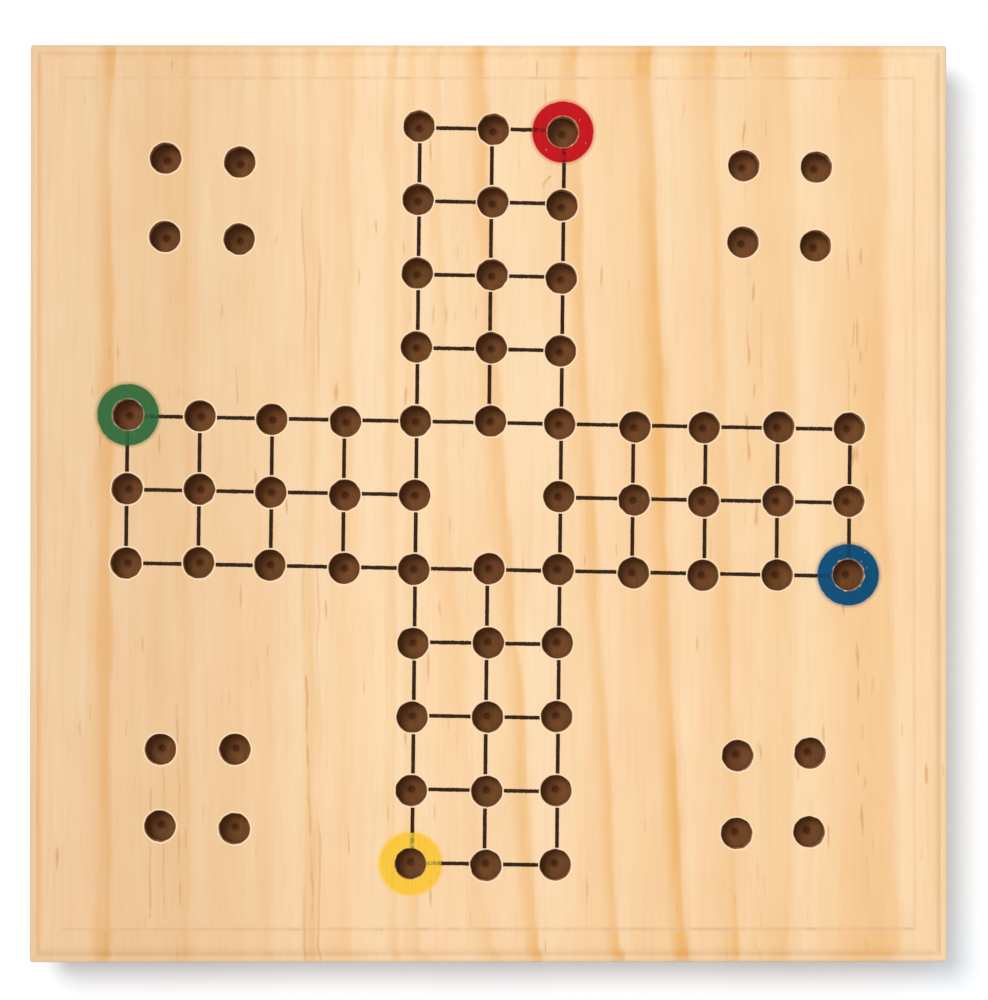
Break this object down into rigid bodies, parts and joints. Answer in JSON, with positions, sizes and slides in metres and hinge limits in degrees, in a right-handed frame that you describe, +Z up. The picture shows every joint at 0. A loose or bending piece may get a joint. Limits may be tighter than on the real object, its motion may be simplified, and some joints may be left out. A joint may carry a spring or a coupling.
{
  "type": "ludo board game",
  "caption": "Square pine peg board for ludo with a moulded edge, drilled peg holes and painted start rings, on a shallow base with a slide-out tray for pegs and a die.",
  "frame": {"origin": "middle of the underside of the base, on the surface the board stands on", "axes": "+Z up through the playing face, +Y towards the back of the board (the top of the picture), +X to the right; the tray opens towards -Y"},
  "size_m": [0.2, 0.2, 0.0251],
  "materials": {
    "board_pine": "satin, sanded pine with open grain",
    "base_pine": "satin, sanded pine",
    "plywood": "matt birch plywood",
    "screw_steel": "zinc plated",
    "die_white": "glossy with dark pips",
    "line_ink": "matt ink soaked into the wood",
    "ring_red": "brushed paint film with the grain showing",
    "peg_red": "dipped gloss lacquer over turned wood",
    "ring_green": "brushed paint film with the grain showing",
    "peg_green": "dipped gloss lacquer over turned wood",
    "ring_blue": "brushed paint film with the grain showing",
    "peg_blue": "dipped gloss lacquer over turned wood",
    "ring_yellow": "brushed paint film with the grain showing",
    "peg_yellow": "dipped gloss lacquer over turned wood"
  },
  "bodies": {
    "box": {"playing_board": "board_pine", "start_ring_red": "ring_red", "start_ring_green": "ring_green", "start_ring_blue": "ring_blue", "start_ring_yellow": "ring_yellow", "track_lines": "line_ink", "left_rail": "base_pine", "right_rail": "base_pine", "back_rail": "base_pine", "cross_rail": "base_pine", "bottom_panel": "plywood", "bottom_screws": "screw_steel", "tray_stop_left": "base_pine", "tray_stop_right": "base_pine"},
    "tray": {"tray_floor": "plywood", "tray_front": "base_pine", "tray_back": "base_pine", "tray_left_side": "base_pine", "tray_right_side": "base_pine", "tray_divider": "base_pine", "die": "die_white", "peg_blue_1": "peg_blue", "peg_blue_2": "peg_blue", "peg_blue_3": "peg_blue", "peg_blue_4": "peg_blue", "peg_green_1": "peg_green", "peg_green_2": "peg_green", "peg_green_3": "peg_green", "peg_green_4": "peg_green", "peg_red_1": "peg_red", "peg_red_2": "peg_red", "peg_red_3": "peg_red", "peg_red_4": "peg_red", "peg_yellow_1": "peg_yellow", "peg_yellow_2": "peg_yellow", "peg_yellow_3": "peg_yellow", "peg_yellow_4": "peg_yellow"}
  },
  "joints": [
    {"name": "tray_slide", "type": "slide", "parent": "box", "child": "tray", "axis": [0, -1, 0], "range_m": [0, 0.0614]}
  ]
}
